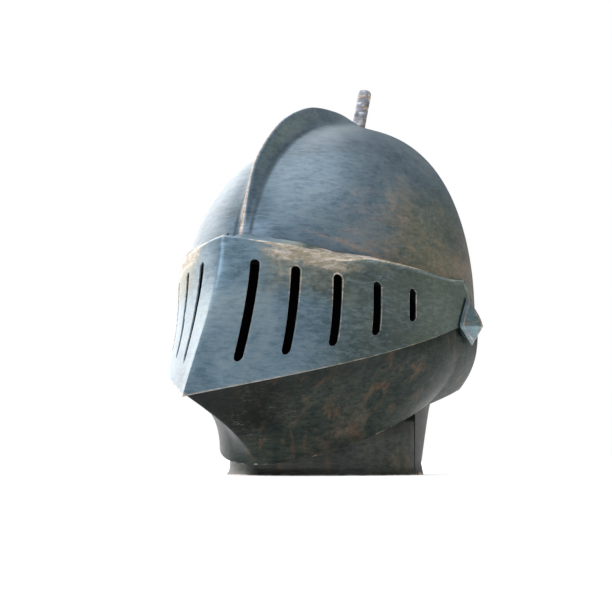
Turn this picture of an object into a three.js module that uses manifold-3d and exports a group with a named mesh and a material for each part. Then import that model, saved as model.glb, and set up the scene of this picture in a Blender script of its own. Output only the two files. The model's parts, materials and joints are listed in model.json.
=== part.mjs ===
// Close helmet: skull with a hollow comb, prow-shaped visor with eye slots, keeled bevor (lower
// face plate), front neck plate, two pyramid pivot caps and the stub of a plume holder.
// Millimetres, +Z up, the face looks along -Y and the wearer's left is +X.
//
// All shapes are worked out about the pivot axis, the line along X on which visor and bevor
// swing. "rho" is the distance from that axis and "phi" the angle above the forward direction.
import * as THREE from 'three';
import { mergeVertices } from 'three/addons/utils/BufferGeometryUtils.js';
import Module from 'manifold-3d';

// ---------- driving dimensions ----------
const PLATE = 1.8;              // thickness of skull and neck plates
const VISOR_PLATE = 1.6;        // thickness of the visor plate
const FIT_GAP = 0.35;           // play between pieces that sit against each other
const MIN_CORNER_COSINE = 0.6;  // limits how far a plate's inner corner is pushed in
const BEYOND = 140;             // half width of cutters that pass the whole helmet
const FAR_FRONT_Y = -260;       // in front of everything
const FAR_BELOW = 20;           // how far cutters reach under the rim

// skull, above the pivot axis
const SKULL_HALF_WIDTH = 108;
const SKULL_FRONT = 161;        // forward reach at axis height
const SKULL_BACK = 118;         // backward reach at axis height
const SKULL_TOP = 165;          // crown above the axis
const CROWN_Y = 23;             // the crown lies behind the axis
const ROUNDNESS = 2.22;         // exponent of the skull's rounded outlines
const RING_POINTS = 36;
const UPPER_SECTIONS = 11;
const TOP_SECTION = 0.9985;     // last level section, as a share of the crown's height

// skull and neck, below the pivot axis
const BOWL_DEPTH = 75;          // depth at which the rounded cheeks would close
const BOWL_ROUNDNESS = 2.3;
const NECK_HALF_WIDTH = 75;
const NECK_CENTRE_Y = -24;
const NECK_BLEND = [20, 70];    // depths between which the widest place moves forward
const NECK_FRONT_Y = -104;
const NECK_BACK_LOW = 56;       // nape at the rim
const NECK_BACK_HIGH = 92;      // nape where it leaves the bowl
const NECK_TOP_Z = -55;
const RIM_Z = -118;             // flat rim on which the helmet stands
const RIM_HEIGHT = 6;
const RIM_FLARE = 2.4;
const LOWER_SECTIONS = [-90, -70, -62, -54, -44, -32, -18];
const BORE_OVERRUN = 5;         // the hollow is cut this far below the rim

// face opening, seen from the side
const BROW_ANGLE = 13.5;        // degrees above forward
const BROW_CORNER_Y = -62;
const CHEEK_EDGE = [[-30, -12], [-36, -2], [-46, 6]];
const NECK_SEAM_Y = -14;
const NECK_SEAM_TOP_Z = -44;
const SEAM_GAP = 0.4;
const NECK_PLATE_SIDE_Z = -56;  // top of the front neck plate at the seam
const NECK_PLATE_FRONT = [-120, -92];

// comb
const COMB_HEIGHT = 18;
const COMB_START = 23;          // degrees
const COMB_END = 106;
// along the comb: degrees and share of its full height
const COMB_LINE = [[30, 0.42], [42, 0.78], [58, 1], [75, 0.95], [90, 0.68], [100, 0.32]];
const COMB_SINK = 3;            // depth of both ends of the comb line under the skull
const COMB_ROOT = 6;            // depth of the comb's foot under the skull
const COMB_STEPS = 22;
const COMB_FOOT_HALF_WIDTH = 7.6;
const COMB_SPREAD = 4;          // extra half width of the foot behind the visor's reach
const COMB_SPREAD_ANGLES = [70, 92];
const COMB_CREST_HALF_WIDTH = 1.8;
const COMB_LEAST_HALF_WIDTH = 0.4;
const COMB_WAIST = 0.3;         // share of the way from crest to foot width, at half height

// plume stub
const STUB_RADIUS = 5.7;
const STUB_BASE = [28, 160];    // y, z of its lower end, inside the skull
const STUB_TOP = [44.5, 202];

// visor
const VISOR_HALF_WIDTH = 113;
const EYE_KEEL = 186.2;         // least distance of the keel from the axis
const PROW_START = 11;          // degrees; below this angle the keel runs out to the prow
const PROW_GROWTH = 0.167;
const PROW_POWER = 1.774;
const BROW_LEAN = 0.09;         // growth of the keel towards the border
const BROW_LEAN_START = 13;
const BROW_LEAN_SPAN = 8;
const FLANK_ROUNDNESS = 2.44;
const FLANK_POWERS = [1.25, 0.825]; // hollow at the lower edge, full beside the brow
const FLANK_FULL = 14;          // degrees from which the flanks are full
const KEEL_INSET = 1.5;         // share of an inset taken off at the sharp keel
const EDGE_COLUMN = 0.9996;     // last column, as a share of the half width
const VISOR_COLUMNS = 12;
const VISOR_ROWS = 8;
const VISOR_LOW = -15;          // degrees, lower edge
const VISOR_HIGH = 17.5;        // degrees, front of the turned-in border
const SIDE_EDGE_Z = 27.5;       // height of the upper edge above the axis, beside the pivot
const SIDE_EDGE_SLOPE = 0.14;
const SIDE_EDGE_REACH = 1.2;    // least distance for the side edge, as a share of SIDE_EDGE_Z
const SIDE_EDGE_BLEND = [64, 86];
const BEHIND_PIVOT = 38;        // degrees that the arm's upper edge runs on behind the pivot
const BEHIND_PIVOT_BLEND = [-34, -20];
const BORDER_END = 19.3;        // degrees, inner edge of the border beside the comb notch
const BORDER_RISE = 3.2;        // further degrees at the comb
const BORDER_RISE_WIDTH = 14;
const BORDER_LIP = 0.4;         // degrees of border left beside the pivots
const BORDER_FADE = [66, 86];
const BORDER_CLEARANCE = 3;     // between the border's inner edge and what the skull sweeps
const SWEPT_RADIUS = 166.3;     // reach of the skull on the visor's way up
const SWEPT_ROUNDNESS = 2.2;
const ARM_RADIUS = 11;
const COMB_NOTCH_RADIUS = 184.6;
const COMB_NOTCH_HALF_WIDTH = 7.5;
const COMB_NOTCH_ANGLE = 17.9;  // degrees; the notch is cut in the turned-in border only
const COMB_NOTCH_SPAN = 20;
const NOTCH_SIDES = 60;
const SLOT_WIDTH = 6.8;
const SLOT_CUT = 44;            // depth of the slot cutters
const SLOT_BESIDE = 3;          // distance over which the plate's direction is taken
// each slot: distance from the middle, lower and upper end in degrees
const SLOTS = [
  [23, -10.5, 12.9], [47, -10.3, 12.7], [69.6, -9.6, 12.7], [88.5, -7.7, 13.7], [102.5, -2, 16.6],
];

// bevor
const BEVOR_TOP = -11.2;        // degrees, upper edge inside the visor
const BEVOR_PLATE = 1.6;
const BEVOR_CLEARANCE = 0.8;    // between bevor and visor
const BEVOR_HALF_WIDTH = VISOR_HALF_WIDTH - VISOR_PLATE - BEVOR_CLEARANCE;
const CHIN_EDGE_HALF_WIDTH = 79.6;
const CHIN_EDGE_FRONT = 131;
const CHIN_EDGE_Z = -62.5;      // height of the sloping lower edge at the axis
const CHIN_EDGE_SLOPE = 0.36;
const BEVOR_ARM_RADIUS = 11;
const BEVOR_END_TURN = 89;      // degrees round the helmet, from the keel to the pivot
const BEVOR_STEPS = 12;
const BEVOR_LEVELS = 8;
const CHEEK_TURNS = [50, 86];
const CHEEK_SHAPE = [2.8, 1.1]; // exponents of the full cheek's profile
const KEEL_SHAPE = 1.5;         // exponent of the profile at the keel
const FLANK_SHAPE = 2.3;        // and on the hollow flanks beside it
const FLANK_TURN = 18;
const BEVOR_REAR_STEPS = 3;
const BEVOR_REAR_Y = 34;        // the bevor's sides run on behind the pivot
const BEVOR_REAR_LENGTH = 140;  // half length of the ellipse that the rear sides follow

// pivots
const PIN_RADIUS = 3;
const PIN_HOLE_RADIUS = 3.5;
const PIN_INNER_X = 101;
const CAP_SIDE = 24;
const CAP_FOOT = 2.2;           // width and height of the sloping foot
const CAP_HEIGHT = 11;
const CAP_TURN = 32;            // degrees that the square base is turned
const CAP_CENTRE = [4, 2];      // y, z of the pyramid beside the axis
const CAP_EDGE = 0.5;           // height of the foot's upright edge
const CAP_TIP = 0.9;            // half width of the blunt tip
const PIN_OVERLAP = 1;          // length of pin inside the pyramid
const ROUND = 32;               // sides of discs

// ---------- solids ----------
const wasm = await Module();
wasm.setup();
const rad = THREE.MathUtils.degToRad;
const clamp = THREE.MathUtils.clamp;
const smooth = THREE.MathUtils.smoothstep;
const lerp = THREE.MathUtils.lerp;
const point = (x, y, z) => new THREE.Vector3(x, y, z);
const polar = (x, rho, phi) => point(x, -rho * Math.cos(rad(phi)), rho * Math.sin(rad(phi)));

function solidOf(geometry) {
  const bare = geometry.index ? geometry.toNonIndexed() : geometry.clone();
  bare.deleteAttribute('normal');
  bare.deleteAttribute('uv');
  const merged = mergeVertices(bare, 1e-4);
  const vertProperties = new Float32Array(merged.attributes.position.array);
  const triVerts = new Uint32Array(merged.index.array);
  return new wasm.Manifold(new wasm.Mesh({ numProp: 3, vertProperties, triVerts }));
}

function geometryOf(solid) {
  const mesh = solid.getMesh();
  const geometry = new THREE.BufferGeometry();
  geometry.setAttribute('position', new THREE.BufferAttribute(new Float32Array(mesh.vertProperties), 3));
  geometry.setIndex(new THREE.BufferAttribute(new Uint32Array(mesh.triVerts), 1));
  geometry.computeVertexNormals();
  return geometry;
}

// Closed body through a list of closed rings with equal counts, flat at both ends.
function loftOf(rings) {
  const positions = [];
  const push = (...corners) => corners.forEach((p) => positions.push(p.x, p.y, p.z));
  const count = rings[0].length;
  for (let r = 0; r + 1 < rings.length; r += 1) {
    for (let i = 0; i < count; i += 1) {
      const j = (i + 1) % count;
      push(rings[r][i], rings[r][j], rings[r + 1][j]);
      push(rings[r][i], rings[r + 1][j], rings[r + 1][i]);
    }
  }
  const last = rings[rings.length - 1];
  for (let i = 1; i + 1 < count; i += 1) {
    push(rings[0][0], rings[0][i + 1], rings[0][i]);
    push(last[0], last[i], last[i + 1]);
  }
  const geometry = new THREE.BufferGeometry();
  geometry.setAttribute('position', new THREE.Float32BufferAttribute(positions, 3));
  return solidOf(geometry);
}

// Closed plate between a grid of points and the same grid moved inward by a thickness.
// Rows run down the plate and columns from the wearer's right to the left.
function plateOf(grid, thickness) {
  const rows = grid.length;
  const cols = grid[0].length;
  const edge = (a, b) => b.clone().sub(a);
  const inner = grid.map((row, r) => row.map((p, c) => {
    const faces = [];
    for (const [dr, dc] of [[-1, -1], [-1, 1], [1, 1], [1, -1]]) {
      const above = grid[r + dr]?.[c];
      const beside = grid[r]?.[c + dc];
      if (above && beside) {
        const normal = edge(p, above).cross(edge(p, beside)).multiplyScalar(dr * dc).normalize();
        faces.push(normal);
      }
    }
    const mean = faces.reduce((sum, n) => sum.add(n), point(0, 0, 0)).normalize();
    const flat = Math.min(...faces.map((n) => n.dot(mean)));
    return p.clone().addScaledVector(mean, -thickness / Math.max(flat, MIN_CORNER_COSINE));
  }));
  const positions = [];
  const push = (...corners) => corners.forEach((p) => positions.push(p.x, p.y, p.z));
  const quad = (a, b, c, d) => {
    push(a, b, c);
    push(a, c, d);
  };
  for (let r = 0; r + 1 < rows; r += 1) {
    for (let c = 0; c + 1 < cols; c += 1) {
      quad(grid[r][c], grid[r + 1][c], grid[r + 1][c + 1], grid[r][c + 1]);
      quad(inner[r][c], inner[r][c + 1], inner[r + 1][c + 1], inner[r + 1][c]);
    }
    quad(grid[r][0], inner[r][0], inner[r + 1][0], grid[r + 1][0]);
    quad(grid[r][cols - 1], grid[r + 1][cols - 1], inner[r + 1][cols - 1], inner[r][cols - 1]);
  }
  for (let c = 0; c + 1 < cols; c += 1) {
    quad(grid[0][c], grid[0][c + 1], inner[0][c + 1], inner[0][c]);
    quad(grid[rows - 1][c], inner[rows - 1][c], inner[rows - 1][c + 1], grid[rows - 1][c + 1]);
  }
  const geometry = new THREE.BufferGeometry();
  geometry.setAttribute('position', new THREE.Float32BufferAttribute(positions, 3));
  return solidOf(geometry);
}

// Prism across the whole helmet from an outline drawn in side view as [y, z] points.
function sidePrism(outline) {
  const shape = new THREE.Shape(outline.map(([y, z]) => new THREE.Vector2(y, z)));
  const geometry = new THREE.ExtrudeGeometry(shape, { depth: 2 * BEYOND, bevelEnabled: false });
  const axes = new THREE.Matrix4().makeBasis(point(0, 1, 0), point(0, 0, 1), point(1, 0, 0));
  axes.setPosition(-BEYOND, 0, 0);
  return solidOf(geometry.applyMatrix4(axes));
}

// Round bar between two points.
function barOf(from, to, radius, segments = 20) {
  const length = from.distanceTo(to);
  const geometry = new THREE.CylinderGeometry(radius, radius, length, segments);
  const turn = new THREE.Quaternion().setFromUnitVectors(point(0, 1, 0), to.clone().sub(from).normalize());
  geometry.applyQuaternion(turn);
  const middle = from.clone().lerp(to, 0.5);
  return solidOf(geometry.translate(middle.x, middle.y, middle.z));
}

const axisBar = (x0, x1, radius, segments) => barOf(point(x0, 0, 0), point(x1, 0, 0), radius, segments);
const joined = (solids) => solids.reduce((sum, solid) => sum.add(solid));

// ---------- skull, comb and neck ----------
const bulge = (q, power) => (1 - clamp(q, 0, 1) ** power) ** (1 / power);

// Half width, front, back and widest place of the skull's level section at height z.
function skullSection(z, inset) {
  const width = SKULL_HALF_WIDTH - inset;
  if (z >= 0) {
    const k = bulge(z / (SKULL_TOP - inset), ROUNDNESS);
    return {
      width: width * k,
      front: CROWN_Y - (SKULL_FRONT - inset + CROWN_Y) * k,
      back: CROWN_Y + (SKULL_BACK - inset - CROWN_Y) * k,
      wide: CROWN_Y * (z / SKULL_TOP) ** 2,
    };
  }
  const k = bulge(-z / BOWL_DEPTH, BOWL_ROUNDNESS);
  const rise = clamp((z - RIM_Z - RIM_HEIGHT) / (NECK_TOP_Z - RIM_Z - RIM_HEIGHT), 0, 1);
  const flare = RIM_FLARE * (1 - clamp((z - RIM_Z) / RIM_HEIGHT, 0, 1)) ** 2;
  const neckBack = lerp(NECK_BACK_LOW, NECK_BACK_HIGH, rise) - inset + flare;
  return {
    width: Math.max(width * k, NECK_HALF_WIDTH - inset + flare),
    front: lerp(NECK_FRONT_Y + inset - flare, -SKULL_FRONT + inset, smooth(z, NECK_TOP_Z, 0)),
    back: Math.max((SKULL_BACK - inset) * k, neckBack),
    wide: NECK_CENTRE_Y * smooth(-z, ...NECK_BLEND),
  };
}

function skullRing(z, inset) {
  const { width, front, back, wide } = skullSection(z, inset);
  return Array.from({ length: RING_POINTS }, (_, i) => {
    const turn = (i / RING_POINTS) * 2 * Math.PI;
    const reach = Math.sin(turn) > 0 ? back - wide : wide - front;
    return point(width * Math.cos(turn), wide + reach * Math.sin(turn), z);
  });
}

function skullBody(inset) {
  const start = inset > 0 ? RIM_Z - BORE_OVERRUN : RIM_Z;
  const heights = [start, RIM_Z + RIM_HEIGHT / 2, RIM_Z + RIM_HEIGHT, ...LOWER_SECTIONS];
  const top = SKULL_TOP - inset;
  for (let i = 0; i < UPPER_SECTIONS; i += 1) {
    heights.push(top * Math.sin((i / UPPER_SECTIONS) * (Math.PI / 2)));
  }
  heights.push(top * TOP_SECTION);
  return loftOf(heights.map((z) => skullRing(z, inset)));
}

const combLine = new THREE.CatmullRomCurve3([
  point(COMB_START, -COMB_SINK, 0),
  ...COMB_LINE.map(([phi, share]) => point(phi, share * COMB_HEIGHT, 0)),
  point(COMB_END, -COMB_SINK, 0),
]);

// Distance of the skull's middle line from the axis.
function skullRadius(phi) {
  let low = 0;
  let high = -FAR_FRONT_Y;
  for (let i = 0; i < 40; i += 1) {
    const rho = (low + high) / 2;
    const p = polar(0, rho, phi);
    const { front, back } = skullSection(p.z, 0);
    const inside = p.z < SKULL_TOP && p.y > front && p.y < back;
    if (inside) low = rho;
    else high = rho;
  }
  return low;
}

function combBody(inset) {
  const rings = [];
  for (let i = 0; i <= COMB_STEPS; i += 1) {
    const { x: phi, y: height } = combLine.getPoint(i / COMB_STEPS);
    const base = skullRadius(phi);
    const foot = COMB_FOOT_HALF_WIDTH + COMB_SPREAD * smooth(phi, ...COMB_SPREAD_ANGLES) - inset;
    const crest = Math.max(COMB_CREST_HALF_WIDTH - inset, COMB_LEAST_HALF_WIDTH);
    const top = base + height - inset;
    const waist = crest + (foot - crest) * COMB_WAIST;
    const bottom = base - COMB_ROOT - inset;
    const half = [[crest, top], [waist, lerp(base, top, 0.5)], [foot, bottom]];
    const outline = [...half, ...half.map(([x, rho]) => [-x, rho]).reverse()];
    rings.push(outline.map(([x, rho]) => polar(x, Math.max(rho, bottom), phi)));
  }
  return loftOf(rings);
}

const stubLine = [point(0, ...STUB_BASE), point(0, ...STUB_TOP)];
const stubHole = barOf(stubLine[0], stubLine[1], STUB_RADIUS + FIT_GAP);

const brow = (y) => -y * Math.tan(rad(BROW_ANGLE));
const belowRim = RIM_Z - FAR_BELOW;
const faceOpening = sidePrism([
  [FAR_FRONT_Y, brow(FAR_FRONT_Y)], [FAR_FRONT_Y, belowRim], [NECK_SEAM_Y, belowRim],
  [NECK_SEAM_Y, NECK_SEAM_TOP_Z], ...CHEEK_EDGE, [BROW_CORNER_Y, brow(BROW_CORNER_Y)],
]);
const neckFrontArea = sidePrism([
  [NECK_SEAM_Y - SEAM_GAP, belowRim], [NECK_SEAM_Y - SEAM_GAP, NECK_PLATE_SIDE_Z],
  NECK_PLATE_FRONT, [NECK_PLATE_FRONT[0], belowRim],
]);
const hollow = skullBody(PLATE).add(combBody(PLATE));
const shell = skullBody(0).add(combBody(0)).subtract(hollow);
const pinHole = axisBar(-BEYOND, BEYOND, PIN_HOLE_RADIUS);
const skull = shell.subtract(faceOpening).subtract(pinHole).subtract(stubHole);
const neckFront = shell.intersect(neckFrontArea);
const stub = barOf(stubLine[0], stubLine[1], STUB_RADIUS);

// ---------- visor ----------
// Distance of the keel from the axis: least above the eyes, growing to the point of the prow.
function visorKeel(phi) {
  const prow = PROW_GROWTH * Math.max(PROW_START - phi, 0) ** PROW_POWER;
  const lean = BROW_LEAN * clamp(phi - BROW_LEAN_START, 0, BROW_LEAN_SPAN) ** 2;
  return EYE_KEEL + prow + lean;
}

// Shape of the flanks: full beside the brow, hollow towards the point of the prow.
const flankPower = (phi) => lerp(...FLANK_POWERS, smooth(phi, VISOR_LOW, FLANK_FULL));

function visorRho(x, phi, inset = 0) {
  const u = clamp(x / (VISOR_HALF_WIDTH - inset), 0, 1);
  return (visorKeel(phi) - KEEL_INSET * inset) * (1 - u ** (1 / flankPower(phi))) ** (1 / FLANK_ROUNDNESS);
}

// Places across the plate, closer together beside the keel and the pivots.
function across(halfWidth, steps) {
  const half = Array.from({ length: steps + 1 }, (_, i) => halfWidth * Math.sin((i / steps) * (Math.PI / 2)));
  return [...half.slice(1).reverse().map((x) => -x), ...half];
}

const visorColumns = across(VISOR_HALF_WIDTH * EDGE_COLUMN, VISOR_COLUMNS);
const visorPoint = (x, phi, inset) => polar(x, visorRho(Math.abs(x), phi, inset), phi);

// Angle of the plate's upper edge: level in front, and beside the pivot a line that runs
// gently down towards the back at SIDE_EDGE_Z above the axis.
function visorTop(x) {
  const rho = visorRho(Math.abs(x), VISOR_HIGH);
  const ahead = Math.sqrt(Math.max(rho ** 2 - (SIDE_EDGE_REACH * SIDE_EDGE_Z) ** 2, 1));
  const angle = THREE.MathUtils.radToDeg(Math.atan2(SIDE_EDGE_Z + SIDE_EDGE_SLOPE * ahead, ahead));
  const behind = BEHIND_PIVOT * smooth(-rho, ...BEHIND_PIVOT_BLEND);
  return lerp(VISOR_HIGH, angle, smooth(Math.abs(x), ...SIDE_EDGE_BLEND)) + behind;
}

// Greatest distance from the axis that the skull reaches on the visor's way up.
const sweptRho = (x) => SWEPT_RADIUS * bulge(Math.abs(x) / SKULL_HALF_WIDTH, SWEPT_ROUNDNESS);

function visorGrid() {
  const endOfBorder = (x) => {
    const edge = visorPoint(x, visorTop(x) + BORDER_LIP);
    const clear = sweptRho(x) + BORDER_CLEARANCE;
    const rho = Math.min(clear, visorRho(Math.abs(x), VISOR_HIGH));
    const turnedIn = polar(x, rho, BORDER_END + BORDER_RISE * Math.exp(-Math.abs(x) / BORDER_RISE_WIDTH));
    return turnedIn.lerp(edge, smooth(Math.abs(x), ...BORDER_FADE));
  };
  const rows = [visorColumns.map(endOfBorder)];
  for (let i = VISOR_ROWS; i >= 0; i -= 1) {
    rows.push(visorColumns.map((x) => visorPoint(x, lerp(VISOR_LOW, visorTop(x), i / VISOR_ROWS))));
  }
  return rows;
}

function slotCutter([x, low, high], side) {
  const bottom = visorPoint(x * side, low, 0);
  const top = visorPoint(x * side, high, 0);
  const beside = visorPoint((x + SLOT_BESIDE) * side, (low + high) / 2, 0);
  const middle = visorPoint(x * side, (low + high) / 2, 0);
  const up = top.clone().sub(bottom).normalize();
  const along = beside.sub(middle).normalize();
  const outward = along.clone().cross(up).normalize();
  const sideways = up.clone().cross(outward).normalize();
  const half = top.distanceTo(bottom) / 2;
  const r = SLOT_WIDTH / 2;
  const shape = new THREE.Shape();
  shape.absarc(0, half - r, r, 0, Math.PI, false);
  shape.absarc(0, -half + r, r, Math.PI, 2 * Math.PI, false);
  const options = { depth: SLOT_CUT, bevelEnabled: false, curveSegments: 4 };
  const geometry = new THREE.ExtrudeGeometry(shape, options);
  const place = new THREE.Matrix4().makeBasis(sideways, up, outward);
  const centre = bottom.clone().lerp(top, 0.5).addScaledVector(outward, -SLOT_CUT / 2);
  place.setPosition(centre);
  return solidOf(geometry.applyMatrix4(place));
}

function armDisc(side, outerX, thickness, radius) {
  return axisBar(side * (outerX - thickness), side * outerX, radius, ROUND);
}

function visorBody() {
  const plate = plateOf(visorGrid(), VISOR_PLATE);
  const discs = [-1, 1].map((side) => armDisc(side, VISOR_HALF_WIDTH, VISOR_PLATE, ARM_RADIUS));
  const notchAngles = [COMB_NOTCH_ANGLE + COMB_NOTCH_SPAN, COMB_NOTCH_ANGLE];
  const wedge = notchAngles.map((angle) => [FAR_FRONT_Y, -FAR_FRONT_Y * Math.tan(rad(angle))]);
  const notchBar = axisBar(-COMB_NOTCH_HALF_WIDTH, COMB_NOTCH_HALF_WIDTH, COMB_NOTCH_RADIUS, NOTCH_SIDES);
  const notch = notchBar.intersect(sidePrism([[0, 0], ...wedge]));
  const slots = SLOTS.flatMap((slot) => [-1, 1].map((side) => slotCutter(slot, side)));
  return plate.add(joined(discs)).subtract(joined(slots)).subtract(notch).subtract(pinHole);
}

// ---------- bevor ----------
// Level section as a share of the way from the lower edge (0) to the visor's edge (1): flanks
// drawn in sharply beside the keel, and full cheeks beside the pivots.
function bevorFullness(turn, h) {
  const cheek = smooth(Math.abs(turn), ...CHEEK_TURNS);
  const flank = lerp(KEEL_SHAPE, FLANK_SHAPE, smooth(Math.abs(turn), 0, FLANK_TURN));
  const a = lerp(1, CHEEK_SHAPE[0], cheek);
  const b = lerp(flank, CHEEK_SHAPE[1], cheek);
  return (1 - h ** a) ** b;
}

function bevorGrid() {
  const count = 2 * BEVOR_STEPS + 1;
  const turns = Array.from({ length: count }, (_, i) => ((i - BEVOR_STEPS) / BEVOR_STEPS) * BEVOR_END_TURN);
  const inset = VISOR_PLATE + BEVOR_CLEARANCE;
  const upper = (turn, phi) => {
    const x = BEVOR_HALF_WIDTH * Math.sin(rad(Math.abs(turn)));
    return polar(Math.sign(turn) * x, visorRho(x, phi, inset), phi);
  };
  const rows = [BEVOR_TOP, VISOR_LOW].map((phi) => turns.map((turn) => upper(turn, phi)));
  for (let i = 1; i <= BEVOR_LEVELS; i += 1) {
    const h = i / BEVOR_LEVELS;
    rows.push(turns.map((turn) => {
      const top = upper(turn, VISOR_LOW);
      const edgeX = CHIN_EDGE_HALF_WIDTH * Math.sin(rad(turn));
      const edgeY = -CHIN_EDGE_FRONT * Math.cos(rad(turn));
      const edgeZ = CHIN_EDGE_Z + CHIN_EDGE_SLOPE * edgeY;
      const g = bevorFullness(turn, h);
      return point(lerp(edgeX, top.x, g), lerp(edgeY, top.y, g), lerp(top.z, edgeZ, h));
    }));
  }
  const highest = rows[1][0];
  const lowest = rows[rows.length - 1][0];
  const rear = (end) => Array.from({ length: BEVOR_REAR_STEPS }, (_, i) => {
    const y = lerp(end.y, BEVOR_REAR_Y, (i + 1) / BEVOR_REAR_STEPS);
    const z = end.z + CHIN_EDGE_SLOPE * (y - end.y) * (end.z / CHIN_EDGE_Z);
    const h = clamp((z - highest.z) / (lowest.z - highest.z), 0, 1);
    const cheekX = Math.abs(lerp(lowest.x, highest.x, bevorFullness(CHEEK_TURNS[1], h)));
    const width = Math.max(cheekX, Math.abs(end.x));
    const narrowing = Math.sqrt(1 - (Math.max(y, 0) / BEVOR_REAR_LENGTH) ** 2);
    return point(Math.sign(end.x) * width * narrowing, y, z);
  });
  return rows.map((row) => [...rear(row[0]).reverse(), ...row, ...rear(row[row.length - 1])]);
}

function bevorBody() {
  const plate = plateOf(bevorGrid(), BEVOR_PLATE);
  const discs = [-1, 1].map((side) => armDisc(side, BEVOR_HALF_WIDTH, BEVOR_PLATE, BEVOR_ARM_RADIUS));
  return plate.add(joined(discs)).subtract(pinHole);
}

// ---------- pivot caps ----------
function capBody(side) {
  const base = VISOR_HALF_WIDTH + FIT_GAP;
  const square = (half, x) => [[1, 1], [-1, 1], [-1, -1], [1, -1]].map(([a, b]) => {
    const turned = new THREE.Vector2(a * half, b * half).rotateAround(new THREE.Vector2(), rad(-CAP_TURN));
    return point(side * x, turned.x + CAP_CENTRE[0], turned.y + CAP_CENTRE[1]);
  });
  const rings = [
    square(CAP_SIDE / 2 + CAP_FOOT, base), square(CAP_SIDE / 2 + CAP_FOOT, base + CAP_EDGE),
    square(CAP_SIDE / 2, base + CAP_FOOT), square(CAP_TIP, base + CAP_HEIGHT),
  ];
  if (side < 0) rings.forEach((ring) => ring.reverse());
  const pin = axisBar(side * PIN_INNER_X, side * (base + PIN_OVERLAP), PIN_RADIUS);
  return loftOf(rings).add(pin);
}

// ---------- the assembly ----------
const steel = (color, roughness) => new THREE.MeshStandardMaterial({ color, roughness, metalness: 0.9 });
const group = new THREE.Group();

function place(name, solid, material) {
  const mesh = new THREE.Mesh(geometryOf(solid), material);
  mesh.name = name;
  group.add(mesh);
}

place('skull', skull, steel(0x4f6670, 0.45));
place('neck_front', neckFront, steel(0x4a4a42, 0.5));
place('plume_stub', stub, steel(0x6a625c, 0.7));
place('bevor', bevorBody(), steel(0x3c4a48, 0.45));
place('visor', visorBody(), steel(0x55707a, 0.42));
place('pivot_cap_left', capBody(1), steel(0x4c6a74, 0.45));
place('pivot_cap_right', capBody(-1), steel(0x4c6a74, 0.45));

// The origin is the middle of the helmet's footprint, on the surface it stands on.
const box = new THREE.Box3().setFromObject(group);
group.position.set(0, -(box.min.y + box.max.y) / 2, -box.min.z);

export default group;
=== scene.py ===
"""Looks of a close helmet: hammered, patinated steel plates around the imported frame.

Shapes are worked out in millimetres about the pivot axis, the line along X on which the visor
and the bevor swing. "rho" is the distance from that axis, "phi" the angle above forward (-Y).
"""

import json
import math

import bpy
import numpy as np
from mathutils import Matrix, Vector


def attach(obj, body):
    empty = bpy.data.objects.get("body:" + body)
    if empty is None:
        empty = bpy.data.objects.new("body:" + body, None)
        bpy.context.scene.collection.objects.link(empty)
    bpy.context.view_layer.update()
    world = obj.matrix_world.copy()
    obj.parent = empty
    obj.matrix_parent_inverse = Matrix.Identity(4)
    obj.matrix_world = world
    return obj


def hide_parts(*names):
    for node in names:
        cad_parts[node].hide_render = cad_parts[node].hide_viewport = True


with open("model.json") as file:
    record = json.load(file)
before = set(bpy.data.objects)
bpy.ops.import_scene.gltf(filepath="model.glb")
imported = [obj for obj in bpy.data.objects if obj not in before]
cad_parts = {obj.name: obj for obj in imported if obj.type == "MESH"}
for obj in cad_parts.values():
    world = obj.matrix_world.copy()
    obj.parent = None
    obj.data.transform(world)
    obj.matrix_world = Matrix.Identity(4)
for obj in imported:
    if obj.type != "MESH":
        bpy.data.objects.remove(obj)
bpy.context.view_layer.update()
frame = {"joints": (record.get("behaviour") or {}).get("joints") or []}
PIVOT = np.array(frame["joints"][0]["pos_m"])
MM = 0.001

# ---------- driving dimensions, millimetres and degrees ----------
PLATE = 1.8
VISOR_PLATE = 1.6
RIM_Z = -PIVOT[2] / MM
FIT_GAP = 0.35
BEYOND = 140
FAR_FRONT_Y = -260
FAR_BELOW = 20

SKULL_HALF_WIDTH = 108
SKULL_FRONT = 161
SKULL_BACK = 118
SKULL_TOP = 165
CROWN_Y = 23
ROUNDNESS = 2.22
BOWL_DEPTH = 75
BOWL_ROUNDNESS = 2.3
NECK_HALF_WIDTH = 75
NECK_CENTRE_Y = -24
NECK_BLEND = (20, 70)
NECK_FRONT_Y = -104
NECK_BACK_LOW = 56
NECK_BACK_HIGH = 92
NECK_TOP_Z = -55
RIM_HEIGHT = 6
RIM_FLARE = 2.4
BROW_ANGLE = 13.5
BROW_CORNER_Y = -62
CHEEK_EDGE = ((-19, -36), (-25, -24), (-30, -12), (-33, -7), (-37, -1.5), (-46, 6), (-54, 10.8))
NECK_SEAM_Y = -14
NECK_SEAM_TOP_Z = -44
SEAM_GAP = 0.4
NECK_PLATE_SIDE_Z = -56.4
NECK_PLATE_FRONT = (-120, -92)

COMB_HEIGHT = 18
# the comb's crest: degrees above forward and share of its height
COMB_LINE = (
    (17, 0), (24, 0.04), (30, 0.26), (42, 0.76), (58, 1), (75, 0.96), (90, 0.68), (100, 0.32), (108, 0),
)

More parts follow.
